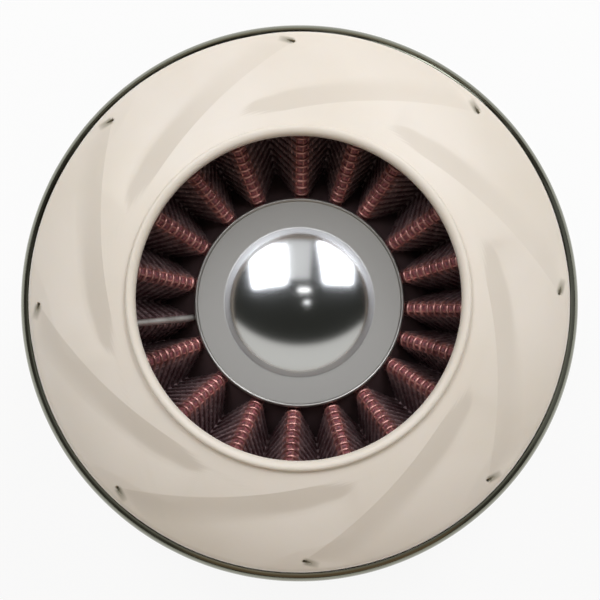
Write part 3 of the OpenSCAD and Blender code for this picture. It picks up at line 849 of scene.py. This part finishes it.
# %% The seam strips' zinc
zinc, tree, shader = surface("zinc-plated strip", "A09E99", 0.5, Metallic=0.9)
where = add(tree, "TexCoord").outputs["Object"]
blotches = add(tree, "TexNoise", Vector=where, Scale=1 / (5 * MM), Detail=3.0)
zinc_tone = ramp(tree, blotches.outputs[0], (0.35, "C2BEB8"), (0.65, "E8E5DF"))
patterned(tree, shader, colours=zinc_tone, height=blotches.outputs[0],
          strength=0.1, distance=0.0002)
refinish("inlet_seam_strip", zinc)
refinish("outer_seam_strip", zinc)

# %% [markdown]
# The base and its neck are one moulding in black rubber, with a fine pebbled grain from the
# mould and the faint grey bloom that rubber gets with age.

# %% The base's rubber
base_rubber, tree, shader = surface("moulded black rubber", "1D1D1B", 0.55, IOR=1.52)
where = add(tree, "TexCoord").outputs["Object"]
pebble = add(tree, "TexVoronoi", Vector=where, Scale=1 / (0.8 * MM))
bloom = add(tree, "TexNoise", Vector=where, Scale=1 / (25 * MM), Detail=4.0)
bloomed = ramp(tree, bloom.outputs[0], (0.35, "191917"), (0.7, "2A2A28"))
patterned(tree, shader, colours=bloomed, height=pebble.outputs["Distance"],
          strength=0.12, distance=0.0002)
refinish("base_neck", base_rubber)

# %% [markdown]
# The clamp is stainless steel strip. Rolling leaves fine lines along the band, so the noise
# is stretched round the neck and stays fine across it.

# %% The clamp's steel
stainless, tree, shader = surface("rolled stainless steel", "A4A6A8", 0.28, Metallic=1.0)
where = add(tree, "TexCoord").outputs["Object"]
long_way = add(tree, "Mapping", Vector=where, Scale=(0.06, 0.06, 1.0))
rolled = add(tree, "TexNoise", Vector=long_way.outputs[0], Scale=1 / (0.25 * MM), Detail=3.0)
gloss = add(tree, "MapRange", Value=rolled.outputs[0], From_Min=0.3, From_Max=0.7,
            To_Min=0.2, To_Max=0.38)
patterned(tree, shader, roughness=gloss.outputs[0], height=rolled.outputs[0],
          strength=0.08, distance=0.0001)
refinish("clamp_band", stainless)
refinish("clamp_housing", stainless)
refinish("clamp_screw", stainless)

# %% [markdown]
# ## Table, room and lamps
# The table is white paper. It looks white to the camera through Light Path, and still keeps a
# little of its own shading, so the filter has a shadow. The photograph overexposes its paper,
# so mirrored paper is brighter than white here.

# %% The table
PAPER_GLARE = 0.6
PAPER_WHITE = 0.9
bm = bmesh.new()
bmesh.ops.create_grid(bm, x_segments=1, y_segments=1, size=3.0)
mesh = bpy.data.meshes.new("table")
bm.to_mesh(mesh)
bm.free()
table = bpy.data.objects.new("table", mesh)
scene.collection.objects.link(table)
paper = bpy.data.materials.new("white paper")
paper.use_nodes = True
tree = paper.node_tree
tree.nodes.clear()
plain = add(tree, "BsdfDiffuse", Color=linear("F2F1EE"))
path = add(tree, "LightPath")
camera_ray, glossy_ray = path.outputs["Is Camera Ray"], path.outputs["Is Glossy Ray"]
over = add(tree, "Math", {"operation": "MULTIPLY_ADD"}, i0=glossy_ray, i1=PAPER_GLARE, i2=1.0)
white = add(tree, "Emission", Color=linear("FFFFFF"), Strength=over.outputs[0])
seen = add(tree, "Math", {"operation": "MAXIMUM"}, i0=camera_ray, i1=glossy_ray)
seen = add(tree, "Math", {"operation": "MAXIMUM"}, i0=seen.outputs[0],
           i1=path.outputs["Is Transmission Ray"])
share = add(tree, "Math", {"operation": "MULTIPLY"}, i0=seen.outputs[0], i1=PAPER_WHITE)
both = add(tree, "MixShader", i0=share.outputs[0], i1=plain.outputs[0], i2=white.outputs[0])
add(tree, "OutputMaterial", Surface=both.outputs[0])
mesh.materials.append(paper)
print("table of", round(table.dimensions.x, 1), "m")

# %% [markdown]
# The room looks white to the camera too, but it lights and mirrors as a real one: dark
# overhead, bright near the horizon, and with a pale wall in front. In the dome the wall's edge
# is a bow, which a parabola in the room gives.

# %% The room
WALL_BOW = 0.35
WALL_FROM = -0.44
world = bpy.data.worlds.new("room")
scene.world = world
world.use_nodes = True
tree = world.node_tree
tree.nodes.clear()
facing = add(tree, "SeparateXYZ", Vector=add(tree, "TexCoord").outputs["Generated"])
room = ramp(tree, facing.outputs["Z"], (0.0, "FFF5E6"), (0.19, "F8EAD6"),
            (0.4, "403A33"), (0.7, "2A2B27"))
height = add(tree, "Math", {"operation": "MAXIMUM"}, i0=facing.outputs["Z"], i1=0.05)
sideways = add(tree, "Math", {"operation": "DIVIDE"}, i0=facing.outputs["X"], i1=height.outputs[0])
forward = add(tree, "Math", {"operation": "DIVIDE"}, i0=facing.outputs["Y"], i1=height.outputs[0])
squared = add(tree, "Math", {"operation": "MULTIPLY"}, i0=sideways.outputs[0], i1=sideways.outputs[0])
bound = add(tree, "Math", {"operation": "MULTIPLY_ADD"}, i0=squared.outputs[0], i1=WALL_BOW,
            i2=WALL_FROM)
pale = ramp(tree, facing.outputs["Z"], (0.45, "605E5A"), (0.68, "DCDBD6"))
past = add(tree, "Math", {"operation": "SUBTRACT"}, i0=bound.outputs[0], i1=forward.outputs[0])
wall = add(tree, "MapRange", {"interpolation_type": "SMOOTHSTEP"}, Value=past.outputs[0],
           From_Min=-0.03, From_Max=0.05)
room = add(tree, "Mix", {"data_type": "RGBA"}, Factor=wall.outputs[0], i6=room, i7=pale).outputs[2]
beyond = add(tree, "LightPath").outputs["Is Camera Ray"]
room = add(tree, "Mix", {"data_type": "RGBA"}, Factor=beyond, i6=room, i7=linear("FFFFFF")).outputs[2]
sky = add(tree, "Background", Color=room, Strength=1.0)
add(tree, "OutputWorld", Surface=sky.outputs[0])
print("room with", len(tree.nodes), "nodes")

# %% [markdown]
# Two softboxes stand behind the filter to the left and right, with a grey card between them
# and two small lamps nearer the axis. The mirror of the dome shows all of these. Two low
# lamps that it doesn't show fill the shade: a warm one in front and a cool one at the right.

# %% The lamps
DOME_TOP = Vector((0, 0, 0.131))


def softbox(name, direction, distance, size, watts, colour="FFFFFF", roll=0.0):
    """A rectangular lamp in a direction from the dome, facing it."""
    lamp = bpy.data.lights.new(name, "AREA")
    lamp.shape = "RECTANGLE"
    lamp.size, lamp.size_y = size
    lamp.energy = watts
    lamp.color = linear(colour)[:3]
    holder = bpy.data.objects.new(name, lamp)
    scene.collection.objects.link(holder)
    out = Vector(direction).normalized()
    holder.location = DOME_TOP + out * distance
    upright = (Vector((0, 1, 0)) - out * out.y).normalized()
    facing_in = Matrix((upright.cross(out), upright, out)).transposed()
    holder.rotation_euler = (Matrix.Rotation(math.radians(roll), 3, out) @ facing_in).to_euler()
    print(name, "at", [round(x, 2) for x in holder.location])


softbox("left_softbox", (-0.333, 0.428, 0.83), 0.9, (0.345, 0.41), 3.35, "F6F9FF", 10.0)
softbox("right_softbox", (0.384, 0.565, 0.79), 0.9, (0.3, 0.6), 4.3, "F6F9FF", -3.0)
softbox("grey_card", (-0.03, 0.5, 0.86), 0.95, (0.28, 0.44), 0.3)
softbox("small_lamp", (0.046, 0.178, 0.981), 0.9, (0.11, 0.035), 0.05)
softbox("bulb", (0.077, 0.042, 0.998), 0.9, (0.04, 0.025), 0.015)
softbox("warm_bounce", (0.1, -0.92, 0.37), 0.9, (1.0, 0.5), 0.55, "FFCB94")
softbox("side_window", (0.93, 0.0, 0.37), 0.9, (0.5, 0.9), 0.5, "F6F9FF")

# %% Standard colour
scene.view_settings.view_transform = "Standard"
